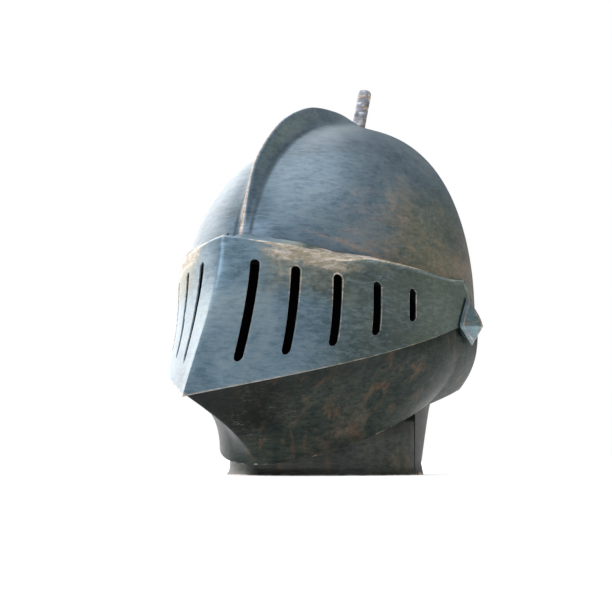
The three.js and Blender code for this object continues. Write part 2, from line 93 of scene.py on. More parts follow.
VISOR_HALF_WIDTH = 113
EYE_KEEL = 186.2
PROW_START = 11
PROW_GROWTH = 0.167
PROW_POWER = 1.774
BROW_LEAN = 0.09
BROW_LEAN_START = 13
BROW_LEAN_SPAN = 8
FLANK_ROUNDNESS = 2.44
FLANK_POWERS = (1.25, 0.825)
FLANK_FULL = 14
KEEL_INSET = 1.5
EDGE_COLUMN = 0.9996
VISOR_LOW = -15
VISOR_HIGH = 17.5
SIDE_EDGE_Z = 27.5
SIDE_EDGE_SLOPE = 0.14
SIDE_EDGE_REACH = 1.2
SIDE_EDGE_BLEND = (64, 86)
BEHIND_PIVOT = 38
BEHIND_PIVOT_BLEND = (-34, -12)
BORDER_END = 19.3
BORDER_RISE = 3.2
BORDER_RISE_WIDTH = 14
BORDER_LIP = 0.4
BORDER_FADE = (66, 86)
BORDER_CLEARANCE = 3
BORDER_BEND = 0.55
BORDER_ROWS = 12
SWEPT_RADIUS = 166.3
SWEPT_ROUNDNESS = 2.2
ARM_RADIUS = 11
COMB_NOTCH_RADIUS = 184.6
COMB_NOTCH_HALF_WIDTH = 7.5
COMB_NOTCH_ANGLE = 17.9
COMB_NOTCH_SPAN = 20
SLOT_WIDTH = 6.8
# each slot: distance from the middle, lower and upper end in degrees
SLOTS = ((23, -10.5, 12.9), (47, -10.3, 12.7), (69.6, -9.6, 12.7), (88.5, -7.7, 13.7), (102.5, -2, 16.6))
KEEL_RADIUS = 1.1
LEVEL_ROWS = 84

BEVOR_TOP = -11.2
BEVOR_HALF_WIDTH = 110.6
BEVOR_INSET = 2.4
CHIN_EDGE_HALF_WIDTH = 79.6
CHIN_EDGE_FRONT = 131
CHIN_EDGE_Z = -62.5
CHIN_EDGE_SLOPE = 0.36
BEVOR_ARM_RADIUS = 11
BEVOR_END_TURN = 89
CHEEK_TURNS = (50, 86)
CHEEK_SHAPE = (2.8, 1.1)
KEEL_SHAPE = 1.5
FLANK_SHAPE = 2.3
FLANK_TURN = 18
BEVOR_REAR_STEPS = 16
BEVOR_REAR_Y = 34
BEVOR_REAR_LENGTH = 140

# the swinging plates are made this much thinner, because their insides follow the hammer marks
HAMMER_ALLOWANCE = 0.45
ARM_SINK = 0.2
ARM_SIDES = 96

PIN_RADIUS = 3
PIN_HOLE_RADIUS = 3.5
PIN_HOLE_REACH = 130
PIN_INNER_X = 101
PIN_OVERLAP = 1
STUB_RADIUS = 5.7
STUB_BASE = (28, 160)
STUB_TOP = (44.5, 202)
CAP_SIDE = 24
CAP_FOOT = 2.2
CAP_HEIGHT = 11
CAP_TURN = 32
CAP_CENTRE = (4, 2)
CAP_BASE_X = VISOR_HALF_WIDTH + FIT_GAP
CAP_LEAN = (0, 1.5, -4)


# ---------- small mathematics ----------
def smooth(x, low, high):
    t = np.clip((x - low) / (high - low), 0, 1)
    return t * t * (3 - 2 * t)


def lerp(a, b, t):
    return a + (b - a) * t


def polar(x, rho, phi):
    """Points at a distance from the pivot axis and an angle above forward."""
    x, rho, phi = np.broadcast_arrays(x, rho, np.radians(phi))
    return np.stack([x, -rho * np.cos(phi), rho * np.sin(phi)], -1)


def rho_phi(p):
    """Distance from the pivot axis and angle above forward of each point."""
    return np.hypot(p[..., 1], p[..., 2]), np.degrees(np.arctan2(p[..., 2], -p[..., 1]))


def waves(p, wavelength, seed, count=14):
    """Smooth uneven field between about 0 and 1: a sum of sine waves in seeded directions."""
    rng = np.random.default_rng(seed)
    total = np.zeros(p.shape[:-1])
    for _ in range(count):
        direction = rng.normal(size=3)
        direction /= np.linalg.norm(direction)
        length = wavelength * rng.uniform(0.7, 1.6)
        total += np.sin(2 * math.pi * (p @ direction) / length + rng.uniform(0, 2 * math.pi))
    return np.clip(0.5 + total / (2.6 * math.sqrt(count)), 0, 1)


def hammered(p, depth=0.55):
    """Depth of the shallow hammer marks and hollows at each point."""
    return depth * (0.62 * waves(p, 62, 3) + 0.27 * waves(p, 27, 8) + 0.11 * waves(p, 12, 21))


def grid_normals(points):
    """Unit normals of a grid of points whose rows run down and columns run towards +X."""
    down = np.gradient(points, axis=0)
    across = np.gradient(points, axis=1)
    n = np.cross(down, across)
    return n / np.maximum(np.linalg.norm(n, axis=-1, keepdims=True), 1e-9)


# ---------- meshes ----------
def mesh_object(name, verts, faces):
    """An object from points in millimetres about the pivot."""
    mesh = bpy.data.meshes.new(name)
    mesh.from_pydata((np.asarray(verts) * MM + PIVOT).tolist(), [], faces)
    mesh.update()
    obj = bpy.data.objects.new(name, mesh)
    bpy.context.scene.collection.objects.link(obj)
    return obj


def grid_faces(rows, cols, start, flipped):
    """Quads over a grid of vertices numbered row by row."""
    r, c = np.meshgrid(np.arange(rows - 1), np.arange(cols - 1), indexing="ij")
    a = (start + r * cols + c).ravel()
    quads = np.stack([a, a + cols, a + cols + 1, a + 1], -1)
    return (quads[:, ::-1] if flipped else quads).tolist()


def plate(name, outer, thickness):
    """Closed plate: a grid of points, the same grid moved inward, and a rim between them."""
    inner = outer - grid_normals(outer) * thickness
    rows, cols = outer.shape[:2]
    count = rows * cols
    faces = grid_faces(rows, cols, 0, False) + grid_faces(rows, cols, count, True)
    ring = list(range(cols))
    ring += [r * cols + cols - 1 for r in range(1, rows)]
    ring += [(rows - 1) * cols + c for c in range(cols - 2, -1, -1)]
    ring += [r * cols for r in range(rows - 2, 0, -1)]
    for a, b in zip(ring, ring[1:] + ring[:1]):
        faces.append([a, b, b + count, a + count])
    return mesh_object(name, np.concatenate([outer.reshape(-1, 3), inner.reshape(-1, 3)]), faces)


def loft(name, rings):
    """Closed body through rings with equal counts, its ends closed by fans."""
    rings = np.asarray(rings, float)
    levels, count = rings.shape[:2]
    verts = np.concatenate([rings.reshape(-1, 3), rings[:1].mean(1), rings[-1:].mean(1)])
    faces = []
    for level in range(levels - 1):
        for i in range(count):
            j = (i + 1) % count
            a, b = level * count + i, level * count + j
            faces.append([a, b, b + count, a + count])
    for i in range(count):
        j = (i + 1) % count
        faces.append([levels * count, j, i])
        faces.append([levels * count + 1, (levels - 1) * count + i, (levels - 1) * count + j])
    return mesh_object(name, verts, faces)


def axis_bar(name, x0, x1, radius, count=48):
    """Round bar along the pivot axis."""
    turn = np.linspace(0, 2 * math.pi, count, endpoint=False)
    circle = np.stack([np.zeros(count), radius * np.cos(turn), radius * np.sin(turn)], -1)
    return loft(name, [circle + (min(x0, x1), 0, 0), circle + (max(x0, x1), 0, 0)])


def pin_holes():
    """Cutter for the pin holes of both sides."""
    return axis_bar("pins", -PIN_HOLE_REACH, PIN_HOLE_REACH, PIN_HOLE_RADIUS)


def arm_discs(half_width, radius):
    """Round ends of both arms, set into a plate that reaches half_width at the pivots."""
    return joined("discs", [
        axis_bar("disc", side * (half_width - VISOR_PLATE), side * (half_width - ARM_SINK), radius, ARM_SIDES)
        for side in (-1, 1)
    ])


def side_prism(name, outline, half_width=BEYOND):
    """Prism across the helmet from an outline in side view, [y, z] points."""
    ring = np.array([[0, y, z] for y, z in outline], float)
    area = np.sum(ring[:, 1] * np.roll(ring[:, 2], -1) - np.roll(ring[:, 1], -1) * ring[:, 2])
    if area < 0:
        ring = ring[::-1]
    count = len(ring)
    verts = np.concatenate([ring - (half_width, 0, 0), ring + (half_width, 0, 0)])
    faces = [[i, (i + 1) % count, (i + 1) % count + count, i + count] for i in range(count)]
    faces += [list(range(count))[::-1], list(range(count, 2 * count))]
    return mesh_object(name, verts, faces)


def combine(piece, *steps):
    """Applies boolean steps, (operation, tool object) pairs, and removes the tools."""
    for operation, tool in steps:
        modifier = piece.modifiers.new(tool.name, "BOOLEAN")
        modifier.operation = operation
        modifier.solver = "MANIFOLD"
        modifier.object = tool
    graph = bpy.context.evaluated_depsgraph_get()
    made = bpy.data.meshes.new_from_object(piece.evaluated_get(graph))
    piece.modifiers.clear()
    piece.data = made
    made.name = piece.name
    for _, tool in steps:
        bpy.data.objects.remove(tool)
    return piece


def points_of(obj):
    """The mesh's points in millimetres about the pivot."""
    co = np.empty(len(obj.data.vertices) * 3)
    obj.data.vertices.foreach_get("co", co)
    return (co.reshape(-1, 3) - PIVOT) / MM


def finish_mesh(obj, masks, sharp=38):
    """Smooth shading with sharp rims, and the named masks as point attributes."""
    mesh = obj.data
    mesh.shade_smooth()
    mesh.set_sharp_from_angle(angle=math.radians(sharp))
    for name, values in masks.items():
        attribute = mesh.attributes.new(name, "FLOAT", "POINT")
        attribute.data.foreach_set("value", np.clip(values, 0, 1).astype(np.float32))


# ---------- skull ----------
def skull_section(z, inset):
    """Half width, front, back and widest place of the skull's level section at height z."""
    width = SKULL_HALF_WIDTH - inset
    up = (1 - np.clip(z / (SKULL_TOP - inset), 0, 1) ** ROUNDNESS) ** (1 / ROUNDNESS)
    down = (1 - np.clip(-z / BOWL_DEPTH, 0, 1) ** BOWL_ROUNDNESS) ** (1 / BOWL_ROUNDNESS)
    rise = np.clip((z - RIM_Z - RIM_HEIGHT) / (NECK_TOP_Z - RIM_Z - RIM_HEIGHT), 0, 1)
    flare = RIM_FLARE * (1 - np.clip((z - RIM_Z) / RIM_HEIGHT, 0, 1)) ** 2
    nape = lerp(NECK_BACK_LOW, NECK_BACK_HIGH, rise) - inset + flare
    throat = lerp(NECK_FRONT_Y + inset - flare, -SKULL_FRONT + inset, smooth(z, NECK_TOP_Z, 0))
    above = z >= 0
    return (
        np.where(above, width * up, np.maximum(width * down, NECK_HALF_WIDTH - inset + flare)),
        np.where(above, CROWN_Y - (SKULL_FRONT - inset + CROWN_Y) * up, throat),
        np.where(above, CROWN_Y + (SKULL_BACK - inset - CROWN_Y) * up,
                 np.maximum((SKULL_BACK - inset) * down, nape)),
        np.where(above, CROWN_Y * (z / SKULL_TOP) ** 2, NECK_CENTRE_Y * smooth(-z, *NECK_BLEND)),
    )


def skull_reach(directions, inset):
    """Distance from the pivot's middle to the skull's surface along unit directions."""
    low = np.zeros(directions.shape[:-1])
    high = np.full(directions.shape[:-1], 260.0)
    for _ in range(34):
        reach = (low + high) / 2
        x, y, z = np.moveaxis(directions * reach[..., None], -1, 0)
        width, front, back, wide = skull_section(z, inset)
        length = np.where(y > wide, back - wide, wide - front)
        ratio = (x / np.maximum(width, 1e-6)) ** 2 + ((y - wide) / np.maximum(length, 1e-6)) ** 2
        inside = (ratio < 1) & (z < SKULL_TOP - inset)
        low = np.where(inside, reach, low)
        high = np.where(inside, high, reach)
    return low


def comb_spread(phi):
    """Half width of the comb at half its height."""
    return lerp(3.5, 4.6, smooth(phi, 30, 74)) + 4.4 * smooth(phi, 74, 98)


def comb_height(x, phi):
    """Height of the comb over the skull: a fin in front that grows broad and soft behind."""
    angles, heights = zip(*COMB_LINE)
    fine = np.linspace(angles[0], angles[-1], 600)
    line = np.interp(fine, angles, heights)
    kernel = np.hanning(45)
    padded = np.pad(line, 22, mode="edge")
    line = np.convolve(padded, kernel / kernel.sum(), mode="valid")
    crest = COMB_HEIGHT * np.clip(np.interp(phi, fine, line, left=0, right=0), 0, None)
    spread = comb_spread(phi)
    power = lerp(3.2, 2.2, smooth(phi, 50, 90))
    return crest / (1 + (np.abs(x) / spread) ** power)


def skull_sheet(name, inset, columns, rows):
    """Closed surface round the pivot's middle, with the comb raised on it."""
    v = np.linspace(-1, 1, columns + 1)[1:-1]
    side = math.pi / 2 * (0.24 * v + 0.76 * v**3)
    phi = np.concatenate([
        np.linspace(8, 128, rows, endpoint=False),
        np.linspace(128, 262, int(rows * 0.8), endpoint=False),
        np.linspace(262, 368, rows // 4, endpoint=False),
    ])
    phi_grid, side_grid = np.meshgrid(phi, side, indexing="ij")
    flat = polar(np.zeros_like(phi_grid), np.cos(side_grid), phi_grid)
    directions = flat + np.stack([np.sin(side_grid), 0 * side_grid, 0 * side_grid], -1)
    reach = skull_reach(directions, inset)
    points = directions * reach[..., None]
    wrapped = np.where(phi_grid > 180, phi_grid - 360, phi_grid)
    height = comb_height(np.abs(points[..., 0]) + inset, wrapped)
    height = np.maximum(height - 0.6 * inset, 0)
    if inset == 0:
        height = height - hammered(points)
    points = points + flat / np.maximum(np.cos(side_grid), 1e-6)[..., None] * height[..., None]
    poles = [[-float(SKULL_HALF_WIDTH - inset), 0, 0], [float(SKULL_HALF_WIDTH - inset), 0, 0]]
    count_phi, count_side = phi_grid.shape
    verts = np.concatenate([points.reshape(-1, 3), poles])
    r, c = np.meshgrid(np.arange(count_phi), np.arange(count_side - 1), indexing="ij")
    a = (r * count_side + c).ravel()
    b = (((r + 1) % count_phi) * count_side + c).ravel()
    faces = np.stack([a, a + 1, b + 1, b], -1).tolist()
    pole = count_phi * count_side
    for i in range(count_phi):
        j = (i + 1) % count_phi
        faces.append([pole, i * count_side, j * count_side])
        faces.append([pole + 1, j * count_side + count_side - 1, i * count_side + count_side - 1])
    return mesh_object(name, verts, faces)


def brow(y):
    """Height of the brow's straight edge in side view."""
    return -y * math.tan(math.radians(BROW_ANGLE))


def face_opening():
    """Cutter for everything in front of the skull's edge, from the brow down past the rim."""
    below = RIM_Z - FAR_BELOW
    return side_prism("face_opening", [
        (FAR_FRONT_Y, brow(FAR_FRONT_Y)), (FAR_FRONT_Y, below),
        (NECK_SEAM_Y, below), (NECK_SEAM_Y, NECK_SEAM_TOP_Z),
        *CHEEK_EDGE, (BROW_CORNER_Y, brow(BROW_CORNER_Y)),
    ])


def stub_rod(name, radius, rough):
    """Rod from the crown to the stub's top, its surface uneven where it is rough."""
    start = np.array([0, *STUB_BASE], float)
    end = np.array([0, *STUB_TOP], float)
    along = (end - start) / np.linalg.norm(end - start)
    across = np.cross((1, 0, 0), along)
    turn = np.linspace(0, 2 * math.pi, 64, endpoint=False)
    rings = []
    for t in np.linspace(0, 1, 60):
        centre = lerp(start, end, t)
        circle = np.outer(np.cos(turn), (1, 0, 0)) + np.outer(np.sin(turn), across)
        points = centre + circle * radius
        if rough:
            dents = 0.28 * waves(points, 16, 31) + 0.2 * waves(points, 6, 37)
            points = centre + circle * (radius - dents)[:, None]
        rings.append(points)
    if rough:
        rings[-1] = lerp(rings[-1].mean(0), rings[-1], 0.9)
        worn_top = ((0.72, 0.1), (0.55, 1.2), (0.3, 1.8))
        rings += [lerp(rings[-1].mean(0), rings[-1], s) - along * d for s, d in worn_top]
    return loft(name, rings)


def make_skull():
    skull = skull_sheet("skull_plate", 0, 190, 150)
    hollow = skull_sheet("hollow", PLATE, 110, 80)
    below = side_prism("below", [(-300, RIM_Z - 400), (300, RIM_Z - 400), (300, RIM_Z), (-300, RIM_Z)], 300)
    combine(
        skull, ("DIFFERENCE", hollow), ("DIFFERENCE", face_opening()), ("DIFFERENCE", below),
        ("DIFFERENCE", pin_holes()),
        ("DIFFERENCE", stub_rod("stub_hole", STUB_RADIUS + 0.2, False)),
    )
    p = points_of(skull)
    x, y, z = p.T
    rho, phi = rho_phi(p)
    side = np.abs(x)
    # painted highlight: a pale line along the left edge of the comb's crest, on the side facing the light
    comb_edge_highlight = np.exp(-(((x + 1.2) / 2.0) ** 2)) * smooth(phi, 15, 19) * smooth(phi, 74, 52)
    # painted shade in the crease along both sides of the comb's foot
    foot = np.exp(-(((side - 1.9 * comb_spread(phi)) / 2.6) ** 2)) * smooth(phi, 14, 20) * smooth(phi, 86, 60)
    rubbed = np.exp(-(((phi - 23.8 - 0.02 * side) / 0.7) ** 2)) * smooth(side, 24, 50) * smooth(side, 100, 92)
    outside = smooth(outside_skull(p), -1.9, -1.1)
    # painted shadow: the skull darkens just above the visor's upper edge and turns black where it lies hidden
    # behind the visor
    above_visor = (phi - visor_top(side * VISOR_HALF_WIDTH / SKULL_HALF_WIDTH) - 0.4) * rho * math.pi / 180
    above_visor = np.where((y < 4) & (z > -30), above_visor, 40)
    shade = 0.4 * smooth(x, 70, 104) * smooth(z, 130, 60)
    finish_mesh(skull, {
        "wear_and_highlight": outside * (0.95 * comb_edge_highlight + 0.42 * rubbed)
                + 0.8 * (np.abs(z - RIM_Z) < 1.2),
        "warm": 0.5 * smooth(z, 105, 30) * smooth(y, -110, 0) * smooth(side, 20, 60) + 0.6 * rubbed
                + 0.55 * smooth(z, 150, 90) * smooth(x, 20, 80),
        # painted shade: darker along the comb's foot, just above the visor's edge and on the right-hand side
        # turned from the light (shade), black on the shell's inside and behind the visor; also darker towards
        # the bottom
        "shade_and_grime": np.minimum(
            0.7 * foot + 0.4 * smooth(above_visor, 7, 0) + 0.8 * smooth(z, -35, -60) + shade, 0.85)
                + 1.0 * (outside < 0.5) + 1.0 * (above_visor < -4),
        # green patina on the back and lower rear, and on the right-hand side (+X) a painted reflection of
        # green surroundings
        "green_patina_and_reflection": np.maximum(smooth(y, 30, 105) * smooth(z, -70, 60) * 0.9, 0.7 * smooth(x, 70, 102))
                + 1.2 * smooth(y, -20, 15) * smooth(z, -30, -60),
    })
    return skull


def outside_skull(p):
    """How far each point lies outside the skull's own surface, millimetres."""
    reach = np.linalg.norm(p, axis=-1)
    directions = p / np.maximum(reach, 1e-6)[..., None]
    return reach - skull_reach(directions, 0)


def make_neck_front():
    level = np.linspace(0, 1, 40) ** 1.3
    seam = NECK_SEAM_Y - SEAM_GAP
    width, front, _, wide = skull_section(np.array([RIM_Z + 20.0]), 0)
    first = math.asin(np.clip((seam - wide[0]) / (wide[0] - front[0]), -1, 1))
    turn = np.linspace(-math.pi - first, first, 181)
    rows = []
    for t in level[::-1]:
        z = np.full(turn.shape, lerp(RIM_Z, NECK_TOP_Z, t))
        for _ in range(8):
            width, front, _, wide = skull_section(z, 0)
            y = wide + (wide - front) * np.sin(turn)
            ahead = np.clip((seam - y) / (seam - NECK_PLATE_FRONT[0]), 0, 1)
            top = lerp(NECK_PLATE_SIDE_Z, NECK_PLATE_FRONT[1], ahead)
            z = lerp(RIM_Z, top, t)
        width, front, _, wide = skull_section(z, 0)
        y = np.minimum(wide + (wide - front) * np.sin(turn), seam)
        rows.append(np.stack([width * np.cos(turn), y, z], -1))
    outer = np.array(rows)
    normals = grid_normals(outer)
    outer = outer - normals * (hammered(outer) * smooth(outer[..., 2], RIM_Z, RIM_Z + 8))[..., None]
    neck = plate("neck_front_plate", outer, PLATE - 0.6)
    for vertex in neck.data.vertices:
        vertex.co.z = max(vertex.co.z, 0)
    p = points_of(neck)
    _, y, z = p.T
    finish_mesh(neck, {
        "wear_and_highlight": 0.75 * smooth(np.abs(z - RIM_Z), 1.6, 0.4) + 0.4 * smooth(np.abs(y - seam), 2.2, 0.6),
        "warm": 0.75 * smooth(waves(p, 46, 5), 0.45, 0.8),
        "shade_and_grime": 0.85 * smooth(z, -98, -70) + 0.2,
        "green_patina_and_reflection": 0.25 * smooth(y, -40, -14),
    })
    return neck


# ---------- visor ----------
def visor_keel(phi):
    """Distance of the sharp keel from the axis: it runs out to the prow and leans to the border."""
    prow = PROW_GROWTH * np.clip(PROW_START - phi, 0, 60) ** PROW_POWER
    return EYE_KEEL + prow + BROW_LEAN * np.clip(phi - BROW_LEAN_START, 0, BROW_LEAN_SPAN) ** 2


def visor_rho(x, phi, inset=0.0):
    """Distance of the visor's surface from the axis, with a slightly rounded keel."""
    rounded = np.sqrt(np.square(x) + KEEL_RADIUS**2)
    u = np.clip(rounded / (VISOR_HALF_WIDTH - inset), 0, 1)
    power = lerp(*FLANK_POWERS, smooth(phi, VISOR_LOW, FLANK_FULL))
    return (visor_keel(phi) - KEEL_INSET * inset) * (1 - u ** (1 / power)) ** (1 / FLANK_ROUNDNESS)


def side_edge(x):
    """Angle of the line that the upper edge follows beside the pivot."""
    rho = visor_rho(x, VISOR_HIGH)
    ahead = np.sqrt(np.maximum(rho**2 - (SIDE_EDGE_REACH * SIDE_EDGE_Z) ** 2, 1))
    angle = np.degrees(np.arctan2(SIDE_EDGE_Z + SIDE_EDGE_SLOPE * ahead, ahead))
    return angle + BEHIND_PIVOT * smooth(-rho, *BEHIND_PIVOT_BLEND)


def visor_top(x):
    """Angle of the plate's upper edge, in front of the turned-in border."""
    return lerp(VISOR_HIGH, side_edge(x), smooth(np.abs(x), *SIDE_EDGE_BLEND))


def swept_rho(x):
    """Greatest distance from the axis that the skull reaches on the visor's way up."""
    across = np.clip(np.abs(x) / SKULL_HALF_WIDTH, 0, 1)
    return SWEPT_RADIUS * (1 - across ** SWEPT_ROUNDNESS) ** (1 / SWEPT_ROUNDNESS)


def visor_columns(count):
    """Places across the visor, spaced evenly along its surface."""
    half = VISOR_HALF_WIDTH * EDGE_COLUMN
    fine = half * np.sin(np.linspace(0, math.pi / 2, 4000))
    step = np.hypot(np.diff(fine), np.diff(visor_rho(fine, 5.0)))
    length = np.concatenate([[0], np.cumsum(step)])
    right = np.interp(np.linspace(0, length[-1], count + 1), length, fine)
    return np.concatenate([-right[:0:-1], right])


def visor_outer():
    """Outer surface of the visor, from the border's inner edge over its bend to the lower edge."""
    x = visor_columns(150)
    top = visor_top(x)
    corner = polar(x, visor_rho(x, top), top)
    clear = np.minimum(swept_rho(x) + BORDER_CLEARANCE, visor_rho(x, VISOR_HIGH))
    rise = BORDER_RISE * np.exp(-np.abs(x) / BORDER_RISE_WIDTH)
    end = np.maximum(BORDER_END + rise, side_edge(x) + BORDER_LIP)
    inner_edge = polar(x, lerp(clear, visor_rho(x, end), smooth(np.abs(x), *BORDER_FADE)), end)
    rows = [lerp(inner_edge, corner, t) for t in np.linspace(0, 0.86, BORDER_ROWS)]
    before = polar(x, visor_rho(x, top - BORDER_BEND), top - BORDER_BEND)
    for t in (0.2, 0.4, 0.6, 0.8):
        rows.append(lerp(lerp(rows[BORDER_ROWS - 1], corner, t), lerp(corner, before, t), t))
    for t in np.linspace(1, 0, LEVEL_ROWS):
        phi = lerp(VISOR_LOW, top - BORDER_BEND, t)
        rows.append(polar(x, visor_rho(x, phi), phi))
    outer = np.array(rows)
    rho, phi = rho_phi(outer)
    below_top = (top - phi) * rho * math.pi / 180
    lip = 0.9 * np.exp(-np.square(below_top / 1.5)) * smooth(np.abs(x), 45, 72)
    depth = hammered(outer, 0.5) - lip
    return outer - grid_normals(outer) * depth[..., None]


def slot_frame(x0, low, high, side):
    """Functions of a slot: surface point and normal at (across, along) millimetres from its middle."""
    middle = (low + high) / 2
    turn = math.radians(high - low)
    growth = float(visor_rho(x0, high) - visor_rho(x0, low)) / turn
    length = math.hypot(float(visor_rho(x0, middle)), growth)

    def surface(across, along):
        phi = middle + np.degrees(along / length)
        slope = visor_rho(x0 + 0.5, phi) - visor_rho(x0 - 0.5, phi)
        x = x0 + across / np.hypot(1, slope)
        return polar(side * x, visor_rho(x, phi), phi)

    def normal(across, along):
        e = 0.4
        up = surface(across, along + e) - surface(across, along - e)
        out = surface(across + e, along) - surface(across - e, along)
        n = np.cross(out, up) * side
        return n / np.linalg.norm(n, axis=-1, keepdims=True)

    return surface, normal, turn * length / 2


def stadium(radius, half_length, count=12, straight=30):
    """Outline of a slot with round ends, (across, along) pairs."""
    arc = np.linspace(0, math.pi, count)
    reach = half_length - radius
    head = np.stack([radius * np.cos(arc), reach + radius * np.sin(arc)], -1)
    left = np.stack([np.full(straight, -radius), np.linspace(reach, -reach, straight + 2)[1:-1]], -1)
    return np.concatenate([head, left, -head, -left])


def slot_tool(slot, side):
    """Cutter that follows the curved plate and leaves a small chamfer on the outer edge."""
    surface, normal, half_length = slot_frame(*slot, side)
    rings = []
    for depth, wider in ((-7, 0), (-0.95, 0), (-0.3, 0.35), (2.5, 1.2)):
        across, along = stadium(SLOT_WIDTH / 2 + wider, half_length + wider).T
        rings.append(surface(across, along) + normal(across, along) * depth)
    rings = np.array(rings)
    if side < 0:
        rings = rings[:, ::-1]
    return loft("slot", rings)


def slot_distance(p):
    """Distance of each point from the nearest slot's outline, millimetres, about right near it."""
    best = np.full(len(p), 99.0)
    for slot in SLOTS:
        x0, low, high = slot
        surface, _, half_length = slot_frame(x0, low, high, 1)
        across, along = stadium(SLOT_WIDTH / 2, half_length, 8, 40).T
        outline = surface(across, along)
        mirrored = p * np.sign(p[:, :1] + 1e-9) * (1, 0, 0) + p * (0, 1, 1)
        near = np.abs(mirrored[:, 0] - x0) < 14
        gap = np.linalg.norm(mirrored[near][:, None] - outline[None], axis=-1).min(1)
        best[near] = np.minimum(best[near], gap)
    return best


def joined(name, parts):
    """One object from several separate closed bodies."""
    verts, faces, start = [], [], 0
    for part in parts:
        verts.append(points_of(part))
        faces += [[start + i for i in face.vertices] for face in part.data.polygons]
        start += len(part.data.vertices)
        bpy.data.objects.remove(part)
    return mesh_object(name, np.concatenate(verts), faces)


def comb_notch():
    """Cutter for the notch that lets the visor's turned-in border pass the comb."""
    low, high = (math.radians(COMB_NOTCH_ANGLE + more) for more in (0, COMB_NOTCH_SPAN))
    outline = [(0, 0)]
    for a in np.linspace(low, high, 40):
        outline.append((-COMB_NOTCH_RADIUS * math.cos(a), COMB_NOTCH_RADIUS * math.sin(a)))
    return side_prism("notch", outline, COMB_NOTCH_HALF_WIDTH)


def make_visor():
    visor = plate("visor_plate", visor_outer(), VISOR_PLATE - HAMMER_ALLOWANCE)
    slots = [slot_tool(slot, side) for slot in SLOTS for side in (-1, 1)]
    combine(
        visor, ("UNION", arm_discs(VISOR_HALF_WIDTH, ARM_RADIUS)), ("DIFFERENCE", joined("slots", slots)),
        ("DIFFERENCE", comb_notch()),
        ("DIFFERENCE", pin_holes()),
    )
    p = points_of(visor)
    x = p[:, 0]
    rho, phi = rho_phi(p)
    side = np.abs(x)
    gap = slot_distance(p)
    top = visor_top(side)
    level = np.clip(phi, VISOR_LOW, 60)
    near, here, far = (visor_rho(np.minimum(side + e, VISOR_HALF_WIDTH), level) for e in (-0.3, 0, 0.3))
    depth = (rho - here) / np.hypot(1, (far - near) / 0.6)
    at_pivot = smooth(side, VISOR_HALF_WIDTH - 1.4, VISOR_HALF_WIDTH - 0.9)
    outside = np.maximum(smooth(depth, -1.35, -0.95), at_pivot)
    from_top = (phi - top) * rho * math.pi / 180
    fold = np.exp(-np.square(from_top / 1.3))
    # painted highlight: a bright line along the upper edge beside the pivots
    side_rim_highlight = smooth(side, 50, 72) * smooth(from_top, -1.5, -0.5)
    low_edge = smooth(phi, VISOR_LOW + 0.55, VISOR_LOW + 0.1) * smooth(rho, 20, 40)
    band = np.exp(-np.square((from_top + 6) / 6))
    middle = smooth(side, 100, 66) * smooth(side, 10, 34)
    upper = smooth(phi, 0, 9) * smooth(side, 14, 40) * smooth(side, 92, 62)
    finish_mesh(visor, {
        # bare-metal wear on the slot rims, the top fold, the lower edge and the keel, with painted highlights
        # on the slot rims and the upper side rim
        "wear_and_highlight": outside * (0.85 * smooth(gap, 1.3, 0.2) + fold * (0.4 + 0.5 * middle) + 0.7 * low_edge
                           + 0.42 * band * middle + 0.4 * smooth(side, 2.2, 0.6) + 0.26 * upper
                           + 1.1 * side_rim_highlight * smooth(side, 112, 104)),
        "warm": 0.7 * upper + 0.6 * band * middle + 0.6 * low_edge + 0.2 * smooth(side, 60, 100),
        # painted shade: black on the visor's inside, slot walls and cut edges below the border, and darker on
        # the right-hand side turned from the light
        "shade_and_grime": 1.0 * (outside < 0.5) * (phi < top - 0.3) + 0.5 * smooth(x, 62, 104) * (1 - side_rim_highlight),
        # painted reflection of green surroundings on the right-hand side, and green patina on the upper
        # middle
        "green_patina_and_reflection": 0.75 * smooth(x, 40, 92) + 0.5 * upper,
    })
    return visor


# ---------- bevor ----------
def bevor_fullness(turn, h):
    """Level section as a share of the way from the lower edge (0) to the visor's edge (1)."""
    cheek = smooth(np.abs(turn), *CHEEK_TURNS)
    a = lerp(1, CHEEK_SHAPE[0], cheek)
    b = lerp(lerp(KEEL_SHAPE, FLANK_SHAPE, smooth(np.abs(turn), 0, FLANK_TURN)), CHEEK_SHAPE[1], cheek)
    return (1 - h**a) ** b


def bevor_rear(row, highest, lowest, steps):
    """Points that carry a row's last point on behind the pivot, close round the skull."""
    end = row[-1]
    y = np.linspace(end[1], BEVOR_REAR_Y, steps + 1)[1:]
    z = end[2] + CHIN_EDGE_SLOPE * (y - end[1]) * (end[2] / CHIN_EDGE_Z)
    h = np.clip((z - highest[2]) / (lowest[2] - highest[2]), 0, 1)
    width = np.maximum(lerp(lowest[0], highest[0], bevor_fullness(90.0, h)), end[0])
    x = width * np.sqrt(1 - np.square(np.maximum(y, 0) / BEVOR_REAR_LENGTH))
    return np.stack([x, y, z], -1)


